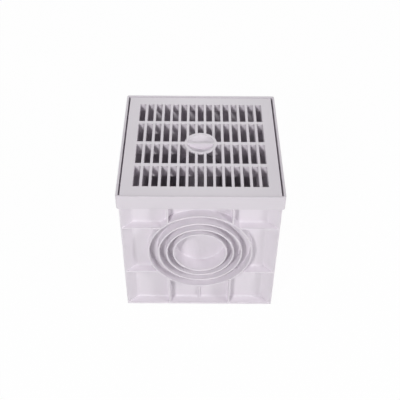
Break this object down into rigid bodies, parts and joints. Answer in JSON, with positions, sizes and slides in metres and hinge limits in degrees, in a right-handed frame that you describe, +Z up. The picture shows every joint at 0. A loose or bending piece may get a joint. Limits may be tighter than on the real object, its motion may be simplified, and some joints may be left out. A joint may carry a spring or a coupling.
{
  "type": "gully trap",
  "caption": "Square moulded gully trap with a slotted lift-out grate, capping frame, nested pipe sockets on every wall and a push-in trap bend.",
  "frame": {"origin": "centre of the underside of the chamber", "axes": "+Z up; +Y towards the outlet wall; the wall that is seen from the front faces -Y"},
  "size_m": [0.196, 0.196, 0.2],
  "materials": {
    "chamber_plastic": "satin moulded polypropylene, pale grey",
    "frame_plastic": "satin moulded polypropylene, pale grey",
    "grate_plastic": "satin moulded polypropylene, pale grey",
    "bend_plastic": "satin moulded polypropylene, pale grey"
  },
  "bodies": {
    "root": {"body": "chamber_plastic", "frame": "frame_plastic", "grate": "grate_plastic", "trap_bend": "bend_plastic"}
  },
  "joints": []
}
